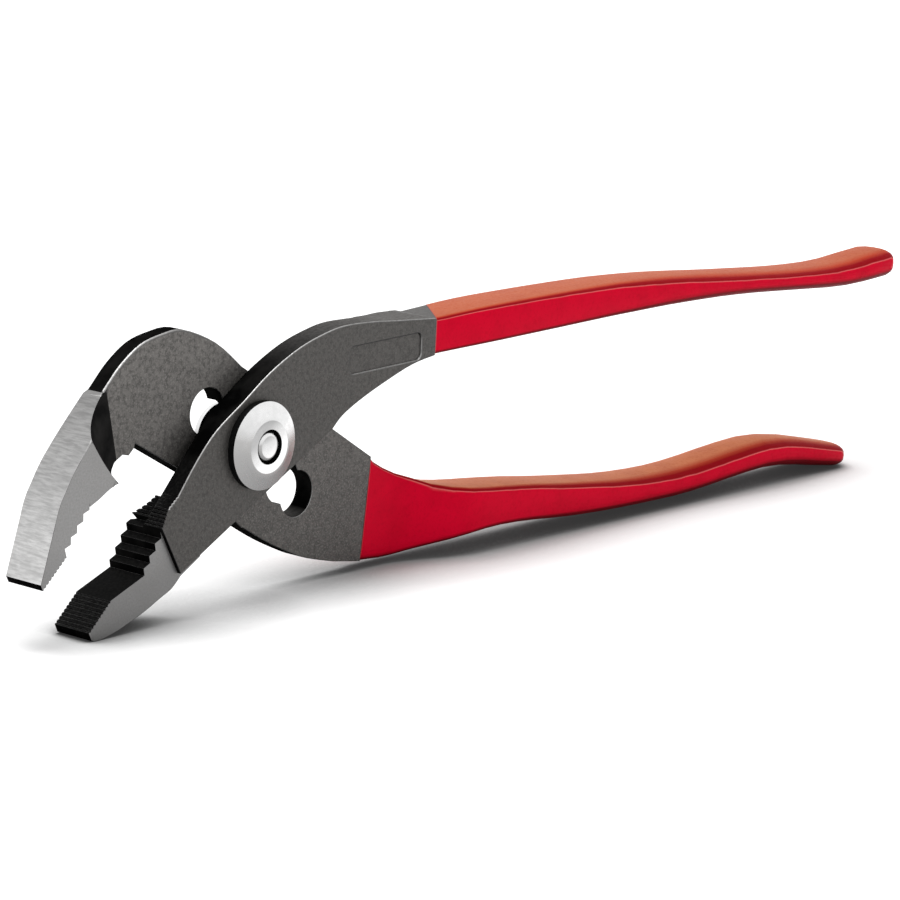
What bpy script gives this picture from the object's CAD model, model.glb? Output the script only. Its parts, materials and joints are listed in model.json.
"""Slip joint pliers with dipped grips: finishes, edges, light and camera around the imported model."""

import json
import math

import bmesh
import bpy
from mathutils import Matrix, Vector

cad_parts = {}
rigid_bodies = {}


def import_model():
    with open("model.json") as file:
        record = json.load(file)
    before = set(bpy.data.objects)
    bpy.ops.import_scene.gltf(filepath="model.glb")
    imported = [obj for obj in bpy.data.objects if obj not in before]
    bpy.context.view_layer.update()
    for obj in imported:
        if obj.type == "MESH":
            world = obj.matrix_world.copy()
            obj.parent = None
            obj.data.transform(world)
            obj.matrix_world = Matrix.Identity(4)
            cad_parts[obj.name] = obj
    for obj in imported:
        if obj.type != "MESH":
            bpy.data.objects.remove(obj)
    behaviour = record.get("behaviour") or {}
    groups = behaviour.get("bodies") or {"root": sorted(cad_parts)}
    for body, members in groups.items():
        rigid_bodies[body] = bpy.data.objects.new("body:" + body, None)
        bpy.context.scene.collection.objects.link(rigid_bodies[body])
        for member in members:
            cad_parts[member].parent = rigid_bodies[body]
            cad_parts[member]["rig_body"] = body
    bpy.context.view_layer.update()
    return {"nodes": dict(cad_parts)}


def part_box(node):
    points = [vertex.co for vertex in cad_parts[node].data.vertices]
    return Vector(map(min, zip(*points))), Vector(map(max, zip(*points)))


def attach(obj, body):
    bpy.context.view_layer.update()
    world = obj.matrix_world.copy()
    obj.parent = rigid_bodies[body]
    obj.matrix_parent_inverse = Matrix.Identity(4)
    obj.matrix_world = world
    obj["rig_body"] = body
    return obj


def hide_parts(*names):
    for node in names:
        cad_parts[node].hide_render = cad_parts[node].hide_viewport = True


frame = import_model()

MM = 0.001
IMAGE_SIDE = 900  # pixels

# The photograph's view: angles in degrees, a long lens, and the pixel where the pivot lies
VIEW_AZIMUTH = -51.1
VIEW_ELEVATION = 11.85
VIEW_ROLL = 3.0
LENS = 144  # mm
SENSOR = 36  # mm
CLIP_START, CLIP_END = 0.01, 50  # metres
PIVOT_PIXEL = (264.8, 446)
PIVOT_DISTANCE = 0.624  # metres along the view

# Places in the frame: the pivot, the plane between the plates, and the jaws' near sides
FRONT_PLATE = 5 * MM  # with the clearance behind it
JAW_STEP = 4.2 * MM  # from the plane between the plates to the jaws' near sides
PIVOT_FORWARD = 1.4 * MM  # in front of the washer's back, where the view was fitted
washer_low, washer_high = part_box("cone_washer")
bolt_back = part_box("pivot_bolt")[1].y
joint_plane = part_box("front_lever")[0].y + FRONT_PLATE
jaw_face = joint_plane - JAW_STEP
PIVOT = (washer_low + washer_high) / 2
PIVOT.y = washer_high.y - PIVOT_FORWARD


def make_camera():
    """A camera at the photograph's distance and angles, with the pivot on its pixel."""
    data = bpy.data.cameras.new("camera")
    data.lens = LENS
    data.sensor_width = SENSOR
    data.clip_start, data.clip_end = CLIP_START, CLIP_END
    camera = bpy.data.objects.new("camera", data)
    bpy.context.scene.collection.objects.link(camera)
    turn = (
        Matrix.Rotation(math.radians(VIEW_AZIMUTH), 4, "Z")
        @ Matrix.Rotation(math.radians(90 - VIEW_ELEVATION), 4, "X")
        @ Matrix.Rotation(math.radians(VIEW_ROLL), 4, "Z")
    )
    pixels_per_unit = IMAGE_SIDE * LENS / SENSOR
    across = (PIVOT_PIXEL[0] - IMAGE_SIDE / 2) / pixels_per_unit
    up = (IMAGE_SIDE / 2 - PIVOT_PIXEL[1]) / pixels_per_unit
    to_pivot = turn @ Vector((across, up, -1)) * PIVOT_DISTANCE
    camera.matrix_world = Matrix.Translation(PIVOT - to_pivot) @ turn
    bpy.context.scene.camera = camera


# Node helpers
COLOUR_A, COLOUR_B, COLOUR_OUT = 6, 7, 2  # the Mix node's sockets for colours
BEVEL_SAMPLES = 6


class Nodes:
    """Short calls that make and link shader nodes in one node tree."""

    def __init__(self, tree):
        self.tree = tree

    def node(self, kind, **settings):
        made = self.tree.nodes.new("ShaderNode" + kind)
        for key, value in settings.items():
            setattr(made, key, value)
        return made

    def link(self, source, target):
        self.tree.links.new(source, target)

    def feed(self, socket, value):
        """Links an output to a socket, or sets the socket to a constant."""
        if isinstance(value, bpy.types.NodeSocket):
            self.link(value, socket)
        else:
            socket.default_value = value

    def math(self, operation, a, b):
        made = self.node("Math", operation=operation)
        self.feed(made.inputs[0], a)
        self.feed(made.inputs[1], b)
        return made.outputs[0]

    def step(self, value, low, high, to_low=0.0, to_high=1.0):
        """A value that runs from to_low to to_high while the input runs from low to high."""
        made = self.node("MapRange")
        self.feed(made.inputs["Value"], value)
        made.inputs["From Min"].default_value = low
        made.inputs["From Max"].default_value = high
        made.inputs["To Min"].default_value = to_low
        made.inputs["To Max"].default_value = to_high
        return made.outputs[0]


class Shader(Nodes):
    """A material with one Principled shader, and calls for what its colour and bump are made of."""

    def __init__(self, name, **values):
        self.material = bpy.data.materials.new(name)
        self.material.use_nodes = True
        super().__init__(self.material.node_tree)
        self.tree.nodes.clear()
        self.bsdf = self.node("BsdfPrincipled")
        out = self.node("OutputMaterial")
        self.link(self.bsdf.outputs["BSDF"], out.inputs["Surface"])
        for key, value in values.items():
            self.bsdf.inputs[key.replace("_", " ")].default_value = value
        coordinates = self.node("TexCoord")
        self.place = coordinates.outputs["Object"]
        self.normal = coordinates.outputs["Normal"]

    def axis(self, vector, name):
        split = self.node("SeparateXYZ")
        self.link(vector, split.inputs[0])
        return split.outputs[name]

    def noise(self, size, detail=3, roughness=0.55, scale=(1, 1, 1)):
        mapping = self.node("Mapping")
        self.link(self.place, mapping.inputs["Vector"])
        mapping.inputs["Scale"].default_value = scale
        made = self.node("TexNoise")
        self.link(mapping.outputs[0], made.inputs["Vector"])
        made.inputs["Scale"].default_value = 1 / size
        made.inputs["Detail"].default_value = detail
        made.inputs["Roughness"].default_value = roughness
        return made.outputs["Fac"]

    def mix(self, share, a, b):
        """Colour a where the share is 0, colour b where it is 1."""
        made = self.node("Mix", data_type="RGBA")
        self.feed(made.inputs["Factor"], share)
        self.feed(made.inputs[COLOUR_A], a)
        self.feed(made.inputs[COLOUR_B], b)
        return made.outputs[COLOUR_OUT]

    def along(self, vector, direction):
        """A vector's part along a direction."""
        made = self.node("VectorMath", operation="DOT_PRODUCT")
        self.link(vector, made.inputs[0])
        made.inputs[1].default_value = direction
        return made.outputs["Value"]

    def facing(self, direction):
        """0 where the surface looks away from a direction of the object's space, 1 where towards it."""
        return self.step(self.along(self.normal, direction), -1, 1)

    def scaled(self, colour, factor):
        made = self.node("VectorMath", operation="SCALE")
        self.link(colour, made.inputs[0])
        self.feed(made.inputs["Scale"], factor)
        return made.outputs[0]

    def ramp(self, value, stops):
        made = self.node("ValToRGB")
        self.link(value, made.inputs["Fac"])
        elements = made.color_ramp.elements
        for element, (place, colour) in zip(list(elements), stops[:2]):
            element.position = place
            element.color = colour
        for place, colour in stops[2:]:
            elements.new(place).color = colour
        return made.outputs["Color"]

    def edges(self, radius, low, high):
        """1 where the surface turns within the radius, 0 where it is flat."""
        bevel = self.node("Bevel", samples=BEVEL_SAMPLES)
        bevel.inputs["Radius"].default_value = radius
        geometry = self.node("NewGeometry")
        dot = self.node("VectorMath", operation="DOT_PRODUCT")
        self.link(bevel.outputs[0], dot.inputs[0])
        self.link(geometry.outputs["Normal"], dot.inputs[1])
        return self.step(self.math("SUBTRACT", 1.0, dot.outputs["Value"]), low, high)

    def surface(self, colour, roughness, height, strength, distance):
        """Connects the colour, the roughness and a bump, and returns the material."""
        self.link(colour, self.bsdf.inputs["Base Color"])
        self.link(roughness, self.bsdf.inputs["Roughness"])
        bump = self.node("Bump")
        bump.inputs["Strength"].default_value = strength
        bump.inputs["Distance"].default_value = distance
        self.link(height, bump.inputs["Height"])
        self.link(bump.outputs[0], self.bsdf.inputs["Normal"])
        return self.material


def grey(value, warm=0.0):
    """A grey with a share of red added and of blue taken away."""
    return (value * (1 + warm), value, value * (1 - warm), 1)


# Places along the levers, from the pivot: the plates, the jaws, the ground back, the heel, the neck
PLATE_START, PLATE_END = -34 * MM, 46 * MM
JAW_END = -15 * MM
BACK_END = -26 * MM
RAMP_FOOT = -32.4 * MM
RAMP_BLEND = 0.7 * MM
REAR_GROUND_START, REAR_GROUND_FULL = 3 * MM, 4 * MM  # beyond the ramp's foot
HEEL_END = -22 * MM
NECK_START = 20 * MM
NECK_DARK, NECK_WORN = 2 * MM, 34 * MM

# Heights from the pivot: the forging dark and pale, and the ground back's top and bright part
PLATE_DARK, PLATE_PALE = -16 * MM, 20 * MM
GROUND_TOP, BACK_BRIGHT = 12.3 * MM, -10 * MM

SIDE_DARK, SIDE_PALE = 8 * MM, 18 * MM  # heights above the floor
REAR_SIDE_START, REAR_SIDE_FULL = 2 * MM, 2.5 * MM  # behind the plane between the plates

# Grey tones of the steel
RAMP_TONE = 0.014
REAR_GROUND_TONE = 0.22
WORN_TONES = (0.1, 0.17)
TOOTH_TONES = (0.004, 0.012)
CREST_TONE = 0.16
SIDE_TONES = (0.175, 0.235)
BACK_TOP_TONES = (0.17, 0.24)
BACK_LOW_TONES = (0.44, 0.64)
RING_TONES = (0.42, 0.95)
PLATING_STAIN = 0.35
RECESS_TONES = (0.002, 0.008)


def forged_steel(name, tone_low, tone_high, ramp_foot=None):
    """Blasted and oiled forging: dark satin grey with a mottled grain, paler towards the top.

    From the ramp's foot to the tip the near side is black, and the jaw's rear side is ground.
    """
    s = Shader(name, Metallic=0.7, Specular_IOR_Level=0.3)
    grain = s.noise(0.36 * MM, detail=4, roughness=0.6)
    mottle = s.noise(0.8 * MM, detail=3, roughness=0.65)
    cloud = s.noise(11 * MM, detail=2)
    height = s.step(s.axis(s.place, "Z"), PIVOT.z + PLATE_DARK, PIVOT.z + PLATE_PALE)
    paler = s.math("ADD", height, s.math("MULTIPLY", s.math("SUBTRACT", cloud, 0.5), 0.9))
    tone = s.mix(paler, grey(tone_low, 0.05), grey(tone_high, 0.05))
    tone = s.mix(s.step(mottle, 0.42, 0.64, 0, 0.7), tone, grey(tone_low * 0.55, 0.04))
    tone = s.mix(s.step(grain, 0.5, 0.68, 0, 0.55), tone, grey(tone_high * 1.8, 0.05))
    if ramp_foot:
        x = s.axis(s.place, "X")
        y = s.axis(s.place, "Y")
        on_rear = s.step(y, joint_plane + REAR_SIDE_START, joint_plane + REAR_SIDE_FULL)
        at_ramp = s.step(x, ramp_foot, ramp_foot - RAMP_BLEND)
        tone = s.mix(at_ramp, tone, s.mix(on_rear, grey(RAMP_TONE), tone))
        at_jaw = s.step(x, ramp_foot - REAR_GROUND_START, ramp_foot - REAR_GROUND_FULL)
        tone = s.mix(s.math("MULTIPLY", at_jaw, on_rear), tone, grey(REAR_GROUND_TONE, 0.01))
    relief = s.math("ADD", grain, mottle)
    return s.surface(tone, s.step(grain, 0.3, 0.7, 0.44, 0.6), relief, 0.3, 0.06 * MM)


def blackened_steel(name, tone_low, tone_high):
    """The forging's walls and ramps: black scale, worn to grey where the neck's top is handled."""
    s = Shader(name, Metallic=0.0, Specular_IOR_Level=0.0)
    grain = s.noise(0.7 * MM, detail=4, roughness=0.65)
    cloud = s.noise(5 * MM, detail=3)
    tone = s.mix(s.step(cloud, 0.4, 0.7), grey(tone_low), grey(tone_high, 0.03))
    top = s.step(s.axis(s.normal, "Z"), 0.72, 0.98)
    on_neck = s.step(s.axis(s.place, "X"), PIVOT.x + NECK_DARK, PIVOT.x + NECK_WORN)
    worn = s.mix(s.step(grain, 0.35, 0.65), grey(WORN_TONES[0], 0.03), grey(WORN_TONES[1], 0.03))
    tone = s.mix(s.math("MULTIPLY", top, on_neck), tone, worn)
    return s.surface(tone, s.step(grain, 0.3, 0.7, 0.45, 0.6), grain, 0.25, 0.08 * MM)


def toothed_steel():
    """Black teeth with the crests rubbed to thin light lines."""
    s = Shader("toothed_steel", Metallic=0.0, IOR=1.05)
    grain = s.noise(0.5 * MM, detail=4, roughness=0.65)
    tone = s.mix(s.step(grain, 0.4, 0.7), grey(TOOTH_TONES[0]), grey(TOOTH_TONES[1], 0.03))
    wear = s.step(grain, 0.35, 0.6, 0.3, 0.9)
    crest = s.math("MULTIPLY", s.edges(0.32 * MM, 0.04, 0.24), wear)
    tone = s.mix(crest, tone, grey(CREST_TONE, 0.01))
    return s.surface(tone, s.step(grain, 0.3, 0.7, 0.4, 0.55), grain, 0.25, 0.06 * MM)


RUBBED_SIDE = (-0.6, -0.3, 0.74)


def rubbed_steel():
    """The rounded plate edges, rubbed bright on the upper jaw side and left dark below."""
    s = Shader("rubbed_steel", Metallic=0.85)
    grain = s.noise(0.6 * MM, detail=4, roughness=0.65)
    dark = grey(0.01)
    half = grey(0.04, 0.03)
    light = grey(0.18, 0.02)
    bright = grey(0.5, 0.01)
    tone = s.ramp(s.facing(RUBBED_SIDE), [(0.5, dark), (0.6, half), (0.8, light), (0.95, bright)])
    tone = s.mix(s.step(grain, 0.35, 0.7, 0, 0.5), tone, grey(0.06, 0.03))
    return s.surface(tone, s.step(grain, 0.3, 0.7, 0.32, 0.48), grain, 0.2, 0.05 * MM)


def side_ground_steel():
    """The jaws' flat sides: an even grey with a fine grain, a little paler on the upper jaw."""
    s = Shader("side_ground_steel", Metallic=0.8)
    grain = s.noise(0.35 * MM, detail=4, roughness=0.65)
    cloud = s.noise(6 * MM, detail=2)
    tone = s.mix(s.step(grain, 0.35, 0.68), grey(SIDE_TONES[0], 0.01), grey(SIDE_TONES[1], 0.01))
    tone = s.mix(s.step(cloud, 0.4, 0.7, 0, 0.3), tone, grey(SIDE_TONES[0], 0.02))
    tone = s.scaled(tone, s.step(s.axis(s.place, "Z"), SIDE_DARK, SIDE_PALE, 1, 1.3))
    return s.surface(tone, s.step(grain, 0.3, 0.7, 0.4, 0.55), grain, 0.2, 0.04 * MM)


def back_ground_steel():
    """The upper jaw's back: ground bright towards the tip, with the wheel's short marks across it."""
    s = Shader("back_ground_steel", Metallic=0.8)
    marks = s.noise(0.45 * MM, detail=4, roughness=0.7, scale=(1, 0.14, 1))
    cloud = s.noise(4 * MM, detail=3)
    lower = s.step(s.axis(s.place, "Z"), PIVOT.z + GROUND_TOP, PIVOT.z + BACK_BRIGHT)
    dark = s.mix(lower, grey(BACK_TOP_TONES[0], 0.01), grey(BACK_LOW_TONES[0], 0.005))
    bright = s.mix(lower, grey(BACK_TOP_TONES[1], 0.01), grey(BACK_LOW_TONES[1], 0.005))
    tone = s.mix(s.step(marks, 0.38, 0.62), dark, bright)
    tone = s.mix(s.step(cloud, 0.4, 0.7, 0, 0.3), tone, dark)
    return s.surface(tone, s.step(marks, 0.3, 0.7, 0.4, 0.55), marks, 0.25, 0.04 * MM)


CONE_BRIGHT_SIDE = (0.12, 0, 0.99)
RING_BRIGHT_SIDE = Vector((0.6, 0, -0.8))
RING_DARK, RING_BRIGHT = -3 * MM, 2.5 * MM  # from the pivot towards the ring's bright side
RING_BACK, RING_FRONT = 0.1 * MM, 0.04 * MM  # behind the washer's foremost plane


def plated_steel():
    """Bright plating: the cone brightest where it looks upward, the flat ring on its lower right."""
    s = Shader("plated_steel", Metallic=0.95)
    cloud = s.noise(1.2 * MM, detail=4)
    cone = s.ramp(
        s.facing(CONE_BRIGHT_SIDE),
        [
            (0.3, grey(0.24)), (0.46, grey(0.33, 0.01)), (0.52, grey(0.4, 0.01)),
            (0.58, grey(0.75)), (0.66, grey(0.89)),
        ],
    )
    middle = PIVOT.dot(RING_BRIGHT_SIDE)
    toward = s.along(s.place, RING_BRIGHT_SIDE)
    ring = s.step(toward, middle + RING_DARK, middle + RING_BRIGHT, RING_TONES[0], RING_TONES[1])
    on_ring = s.step(s.axis(s.place, "Y"), washer_low.y + RING_BACK, washer_low.y + RING_FRONT)
    tone = s.mix(on_ring, cone, ring)
    tone = s.mix(s.step(cloud, 0.35, 0.75, 0, 0.18), tone, grey(PLATING_STAIN))
    return s.surface(tone, s.step(cloud, 0.3, 0.7, 0.24, 0.34), cloud, 0.06, 0.05 * MM)


def recess_steel():
    """The washer's rim wall and the recess round the bolt's dome: dark with old oil."""
    s = Shader("recess_steel", Metallic=0.0, IOR=1.1)
    grain = s.noise(0.4 * MM, detail=3)
    tone = s.mix(grain, grey(RECESS_TONES[0]), grey(RECESS_TONES[1]))
    return s.surface(tone, s.step(grain, 0.3, 0.7, 0.4, 0.55), grain, 0.1, 0.04 * MM)


# Colours of the vinyl
CRIMSON = (0.73, 0.0003, 0.026, 1)
LIP = (0.5, 0.12, 0.12, 1)
PINK = (0.85, 0.16, 0.16, 1)
DARK_RED = (0.3, 0.001, 0.006, 1)
UNDER_RED = (0.14, 0.001, 0.005, 1)
RED_ORANGE = (0.48, 0.05, 0.018, 1)
UPPER_ORANGE = (0.5, 0.12, 0.05, 1)
LOWER_ORANGE = (0.66, 0.2, 0.08, 1)


def red_vinyl(name, orange):
    """Dipped vinyl: crimson sides, a sun-faded orange top, and a pale crease between them."""
    s = Shader(name, IOR=1.1)
    cloud = s.noise(6 * MM, detail=3)
    fine = s.noise(0.6 * MM, detail=4, roughness=0.6)
    wander = s.math("MULTIPLY", s.math("SUBTRACT", cloud, 0.5), 0.08)
    sideways = s.math("ADD", s.axis(s.normal, "Y"), wander)
    round_top = s.ramp(
        s.step(sideways, -1, 1),
        [
            (0.0, CRIMSON), (0.03, CRIMSON), (0.05, PINK), (0.075, DARK_RED), (0.21, DARK_RED),
            (0.33, RED_ORANGE), (0.45, orange), (0.8, orange), (0.93, DARK_RED), (0.97, CRIMSON),
        ],
    )
    upward = s.axis(s.normal, "Z")
    tone = s.mix(s.step(upward, 0.12, 0.3), CRIMSON, round_top)
    tone = s.mix(s.step(upward, -0.15, -0.5), tone, UNDER_RED)
    tone = s.mix(s.step(cloud, 0.4, 0.75, 0, 0.22), tone, DARK_RED)
    tone = s.mix(s.step(fine, 0.5, 0.8, 0, 0.25), tone, DARK_RED)
    tone = s.mix(s.edges(0.4 * MM, 0.03, 0.2), tone, LIP)
    wave = s.noise(3 * MM, detail=2, scale=(0.35, 1, 1))
    relief = s.math("ADD", wave, s.math("MULTIPLY", fine, 0.2))
    return s.surface(tone, s.step(fine, 0.3, 0.7, 0.36, 0.5), relief, 0.2, 0.2 * MM)


# Finish copies: the CAD meshes merged into clean faces, with rounded plate edges
WIDEST_BEVEL = 1.2 * MM
BEVEL_SEGMENTS = 3
MERGE_DISTANCE = 1e-6
MERGE_ANGLE = 0.5  # degrees
SHARP_ANGLE, GRIP_SHARP_ANGLE = 30, 50  # degrees

# Limits on a normal's parts, by which flat sides, walls, ramps and bevels are told apart
FLAT = 0.97
NEARLY_FLAT = 0.9
MOSTLY_SIDEWAYS = 0.6
TILTED = 0.3
ASLANT = 0.2

# Widths of the rounded edges
UNDER_EDGE = 0.12 * MM
SLOT_EDGE = 0.12 * MM
LOWER_JAW_EDGE = 0.14 * MM
FRONT_EDGE = 0.22 * MM
REAR_EDGE = 0.25 * MM
STEP_EDGE = 0.28 * MM
NEAR_CROWN_EDGE = 0.36 * MM
FAR_CROWN_EDGE = 0.8 * MM
BACK_EDGE, BACK_EDGE_GAIN = 0.12 * MM, 0.4 * MM

# Where the rounding starts, changes and ends, from the pivot
BACK_EDGE_START, BACK_EDGE_RISE, BACK_EDGE_END = 3 * MM, 5 * MM, 8 * MM
CROWN_END = 1 * MM
ROUNDED_START = PLATE_START - 14 * MM
ROUNDED_END = PLATE_END - 0.5 * MM

# How close, low or large a face is to count as in a plane, as a step or as a long one
TOLERANCE = 0.01 * MM
SAME_PLANE = 0.1 * MM
OFF_PLANE = 0.2 * MM
STEP_MIDDLE = 1 * MM
LONG_FACE = 8 * MM * MM


def edge_width(edge, width_at):
    """How wide an edge between a plate's flat side and one of its walls is rounded."""
    if len(edge.link_faces) != 2 or not edge.is_convex:
        return 0
    flat, wall = sorted(edge.link_faces, key=lambda face: -abs(face.normal.y))
    if abs(flat.normal.y) < FLAT or abs(wall.normal.y) > TILTED:
        return 0
    return width_at((edge.verts[0].co + edge.verts[1].co) / 2, flat, wall)


def dress(node, materials, choose, width_at=None, cut_height=None, sharp_angle=SHARP_ANGLE):
    """A copy of a CAD node whose faces take their material from choose(centre, normal)."""
    source = frame["nodes"][node]
    mesh = bpy.data.meshes.new(node + "_finish")
    work = bmesh.new()
    work.from_mesh(source.data)
    bmesh.ops.remove_doubles(work, verts=work.verts, dist=MERGE_DISTANCE)
    if width_at:
        plate = [v for v in work.verts if PLATE_START < v.co.x - PIVOT.x < PLATE_END]
        inside = set(plate)
        seams = [e for e in work.edges if e.verts[0] in inside and e.verts[1] in inside]
        limit = math.radians(MERGE_ANGLE)
        bmesh.ops.dissolve_limit(work, angle_limit=limit, verts=plate, edges=seams)
    if cut_height:
        parts = work.verts[:] + work.edges[:] + work.faces[:]
        bmesh.ops.bisect_plane(work, geom=parts, plane_co=(0, 0, cut_height), plane_no=(0, 0, 1))
    work.normal_update()
    weights = work.edges.layers.float.new("bevel_weight_edge")
    for edge in work.edges:
        width = edge_width(edge, width_at) if width_at else 0
        edge[weights] = width / WIDEST_BEVEL
        bent = len(edge.link_faces) != 2 or edge.calc_face_angle(0) > math.radians(sharp_angle)
        edge.smooth = width > 0 or not bent
    for face in work.faces:
        face.smooth = True
    work.to_mesh(mesh)
    work.free()
    piece = bpy.data.objects.new(node + "_finish", mesh)
    bpy.context.scene.collection.objects.link(piece)
    if width_at:
        round_edges(piece)
    for material in materials:
        piece.data.materials.append(material)
    for face in piece.data.polygons:
        face.material_index = choose(face.center, face.normal)
    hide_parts(node)
    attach(piece, source["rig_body"])


def round_edges(piece):
    """Rounds the weighted edges, and keeps the result as the piece's own mesh."""
    bevel = piece.modifiers.new("edges", "BEVEL")
    bevel.limit_method = "WEIGHT"
    bevel.offset_type = "OFFSET"
    bevel.width = WIDEST_BEVEL
    bevel.segments = BEVEL_SEGMENTS
    bevel.use_clamp_overlap = False
    normals = piece.modifiers.new("normals", "WEIGHTED_NORMAL")
    normals.keep_sharp = True
    graph = bpy.context.evaluated_depsgraph_get()
    rounded = bpy.data.meshes.new_from_object(piece.evaluated_get(graph), depsgraph=graph)
    piece.modifiers.clear()
    piece.data = rounded


# The slot, from the pivot: its direction, its ends and half its width
SLOT_ALONG = Vector((0.803857, 0, -0.594823))
SLOT_ACROSS = Vector((0.594823, 0, 0.803857))
SLOT_START, SLOT_END = -17 * MM, 27 * MM
SLOT_HALF = 5.6 * MM


def in_slot(place):
    """Whether a place lies at the rear lever's slot."""
    beside = abs(place.dot(SLOT_ACROSS))
    return SLOT_START < place.dot(SLOT_ALONG) < SLOT_END and beside < SLOT_HALF


def lever_widths(rear):
    """How wide a lever's edges are rounded, by place and by the faces that they join."""

    def jaw_width(middle, place, near, wall):
        if not near:
            return 0
        if not rear:
            if wall.normal.z < -TILTED:
                return UNDER_EDGE
            on_long_edge = wall.normal.z > TILTED and wall.calc_area() > LONG_FACE
            return LOWER_JAW_EDGE if on_long_edge else 0
        on_back = wall.normal.x < -TILTED and wall.normal.z > 0
        if not on_back or abs(middle.y - jaw_face) > SAME_PLANE or place.z > BACK_EDGE_END:
            return 0
        blend = min(max((place.z - BACK_EDGE_START) / BACK_EDGE_RISE, 0), 1)
        return BACK_EDGE + BACK_EDGE_GAIN * blend

    def width_at(middle, flat, wall):
        place = middle - PIVOT
        near = flat.normal.y < 0
        if place.x < PLATE_START:
            return jaw_width(middle, place, near, wall)
        if place.x > ROUNDED_END:
            return 0
        if not rear and place.x < HEEL_END and wall.normal.z > -TILTED:
            return 0
        if abs(wall.calc_center_median().y - middle.y) < STEP_MIDDLE:
            return STEP_EDGE
        if rear and in_slot(place):
            return SLOT_EDGE
        if wall.normal.z < -TILTED:
            return UNDER_EDGE
        if not rear:
            return FRONT_EDGE
        if place.x < CROWN_END:
            return NEAR_CROWN_EDGE if near else FAR_CROWN_EDGE
        return REAR_EDGE

    return width_at


# The levers' finishes, in the order in which make_object lists them
FORGED, BLACK, TEETH, EDGE, SIDE_GROUND, BACK_GROUND, RAMP = range(7)


def lever_choice(rear):
    """Which finish a lever's face has, from where it lies and which way it looks."""

    def choose(centre, normal):
        place = centre - PIVOT
        in_jaw = place.x < JAW_END
        sideways = abs(normal.y)
        if in_jaw and normal.y < -FLAT and abs(centre.y - jaw_face) < SAME_PLANE:
            return SIDE_GROUND
        before_plate = centre.y < joint_plane - TOLERANCE
        on_back = rear and normal.x < -TILTED and normal.z > 0 and place.x < BACK_END
        if on_back and sideways < NEARLY_FLAT and place.z < GROUND_TOP:
            turned = normal.y < -MOSTLY_SIDEWAYS and place.z > BACK_EDGE_END
            return BLACK if before_plate and turned else BACK_GROUND
        on_ramp = centre.y > jaw_face + OFF_PLANE and before_plate
        if rear and in_jaw and on_ramp and sideways > ASLANT:
            return RAMP
        if sideways > FLAT:
            return FORGED
        if sideways > ASLANT and ROUNDED_START < place.x < PLATE_END:
            far_finish = FORGED if place.x > NECK_START else BLACK
            return EDGE if normal.y < 0 else far_finish
        if sideways > MOSTLY_SIDEWAYS:
            return BLACK if in_jaw else FORGED
        if in_jaw and (normal.x > ASLANT if rear else normal.z > 0):
            return TEETH
        return FORGED if place.x > PLATE_END else BLACK

    return choose


# The plated pieces: 0 for the bright finish, 1 for the dark one
RIM_RADIUS = 7.6 * MM
RECESS_RADIUS = 3.6 * MM
BRIGHT_DOME = 0.5 * MM  # behind the washer's foremost plane, where the dome's bright part ends
BRIGHT_HEAD = 1.55 * MM  # a little less than the head's thickness, so its underside stays dark


def washer_choice(centre, normal):
    """Dark rim wall and recess, bright cone and ring."""
    radius = (centre.xz - PIVOT.xz).length
    rim = radius > RIM_RADIUS and normal.y > -TILTED
    recess = radius < RECESS_RADIUS and centre.y > washer_low.y + RING_BACK
    return 1 if rim or recess else 0


def bolt_choice(centre, normal):
    """Bright dome and rear head, and everything between them dark."""
    return 1 if washer_low.y + BRIGHT_DOME < centre.y < bolt_back - BRIGHT_HEAD else 0


def make_object():
    """Dresses every CAD node in its finish."""
    other_finishes = [
        blackened_steel("blackened_steel", 0.002, 0.009),
        toothed_steel(),
        rubbed_steel(),
        side_ground_steel(),
        back_ground_steel(),
        blackened_steel("ramp_steel", 0.01, 0.024),
    ]
    rear_finish = forged_steel("rear_forged_steel", 0.094, 0.152, ramp_foot=PIVOT.x + RAMP_FOOT)
    front_finish = forged_steel("front_forged_steel", 0.08, 0.084)
    dress(
        "rear_lever",
        [rear_finish] + other_finishes,
        lever_choice(rear=True),
        lever_widths(rear=True),
        cut_height=PIVOT.z + GROUND_TOP,
    )
    dress(
        "front_lever",
        [front_finish] + other_finishes,
        lever_choice(rear=False),
        lever_widths(rear=False),
    )
    plated = [plated_steel(), recess_steel()]
    dress("pivot_bolt", plated, bolt_choice)
    dress("cone_washer", plated, washer_choice)
    for node, orange in (("lower_grip", LOWER_ORANGE), ("upper_grip", UPPER_ORANGE)):
        vinyl = red_vinyl(node + "_red_vinyl", orange)
        dress(node, [vinyl], lambda centre, normal: 0, sharp_angle=GRIP_SHARP_ANGLE)


# Stage: floor, backdrop and lamp, in metres and watts
FLOOR_SIZE = 12
FLOOR_TONE = 0.95
CONTACT_TONE = 0.1
CONTACT_REACH = 22 * MM
CONTACT_SAMPLES = 8
CLOSED_IN, OPEN = 0.4, 1.0  # shares of open sky between which the contact shadow fades
NEAR_GLOW, FAR_GLOW = 0.28, 1.0
GLOW_START, GLOW_END = 0.22, 0.6  # from the floor's middle
BACKDROP_LIGHT, BACKDROP_SEEN = 0.6, 1.0
LAMP_PLACE = (-0.18, 0.1, 0.85)
LAMP_SIZE = (0.6, 0.5)
LAMP_POWER = 5


def seen_rays(nodes):
    """1 for rays from the camera, for reflections and through glass, and 0 for the rest."""
    path = nodes.node("LightPath")
    seen = path.outputs["Is Camera Ray"]
    for kind in ("Is Glossy Ray", "Is Transmission Ray"):
        seen = nodes.math("MAXIMUM", seen, path.outputs[kind])
    return seen


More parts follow.
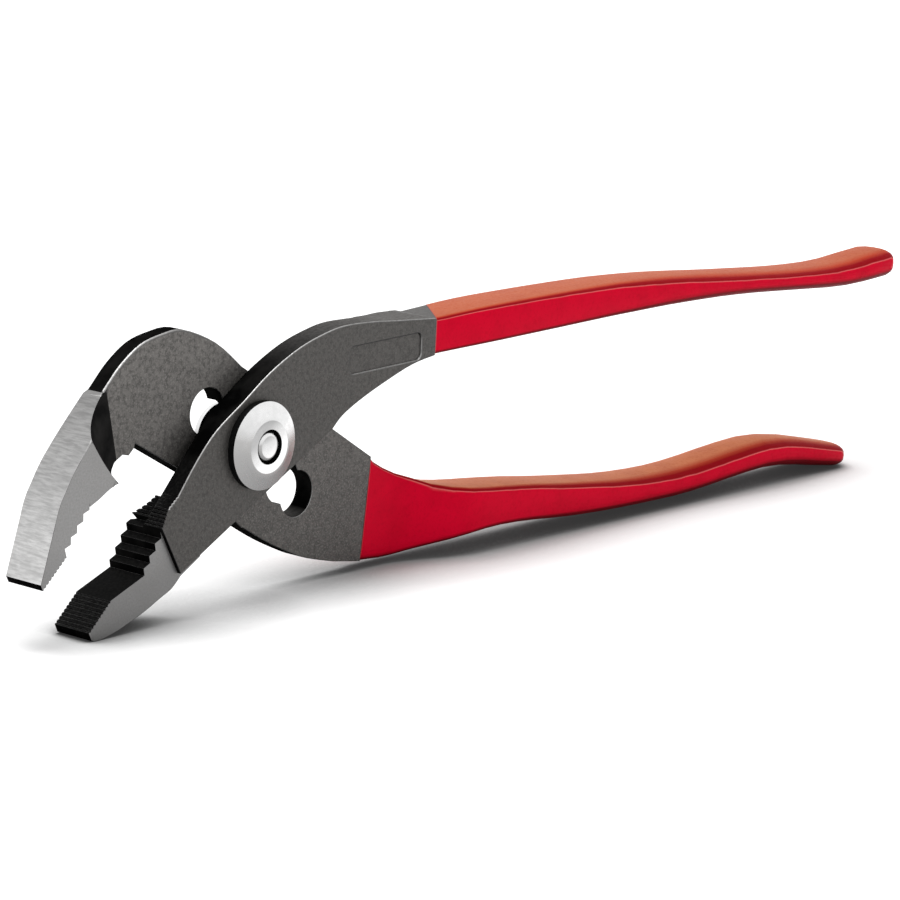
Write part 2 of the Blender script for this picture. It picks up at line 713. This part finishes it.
def make_floor():
    """A white floor that keeps the shadow near the object, and fades to plain white away from it."""
    bpy.ops.mesh.primitive_plane_add(size=FLOOR_SIZE, location=(0, 0, 0))
    floor = bpy.context.object
    floor.name = "floor"
    material = bpy.data.materials.new("floor")
    material.use_nodes = True
    nodes = Nodes(material.node_tree)
    nodes.tree.nodes.clear()
    openness = nodes.node("AmbientOcclusion", samples=CONTACT_SAMPLES)
    openness.inputs["Distance"].default_value = CONTACT_REACH
    tone = nodes.step(openness.outputs["AO"], CLOSED_IN, OPEN, CONTACT_TONE, FLOOR_TONE)
    diffuse = nodes.node("BsdfDiffuse")
    nodes.link(tone, diffuse.inputs["Color"])
    distance = nodes.node("VectorMath", operation="LENGTH")
    nodes.link(nodes.node("TexCoord").outputs["Object"], distance.inputs[0])
    fade = nodes.step(distance.outputs["Value"], GLOW_START, GLOW_END, NEAR_GLOW, FAR_GLOW)
    glow = nodes.node("Emission")
    nodes.link(tone, glow.inputs["Color"])
    nodes.link(nodes.math("MULTIPLY", fade, seen_rays(nodes)), glow.inputs["Strength"])
    add = nodes.node("AddShader")
    nodes.link(diffuse.outputs[0], add.inputs[0])
    nodes.link(glow.outputs[0], add.inputs[1])
    out = nodes.node("OutputMaterial")
    nodes.link(add.outputs[0], out.inputs["Surface"])
    floor.data.materials.append(material)


def make_world():
    """A backdrop that is seen as plain white and lights the object with less than that."""
    world = bpy.data.worlds.new("studio")
    bpy.context.scene.world = world
    world.use_nodes = True
    nodes = Nodes(world.node_tree)
    background = nodes.tree.nodes["Background"]
    background.inputs["Color"].default_value = (1, 1, 1, 1)
    strength = nodes.step(seen_rays(nodes), 0, 1, BACKDROP_LIGHT, BACKDROP_SEEN)
    nodes.link(strength, background.inputs["Strength"])


def make_lamp():
    """One wide lamp overhead, turned to the frame's origin."""
    data = bpy.data.lights.new("overhead", "AREA")
    data.shape = "RECTANGLE"
    data.size, data.size_y = LAMP_SIZE
    data.energy = LAMP_POWER
    light = bpy.data.objects.new("overhead", data)
    bpy.context.scene.collection.objects.link(light)
    light.location = LAMP_PLACE
    light.rotation_euler = (-Vector(LAMP_PLACE)).to_track_quat("-Z", "Y").to_euler()


make_camera()
make_object()
make_floor()
make_world()
make_lamp()
bpy.context.scene.view_settings.view_transform = "Standard"

bpy.context.view_layer.update()
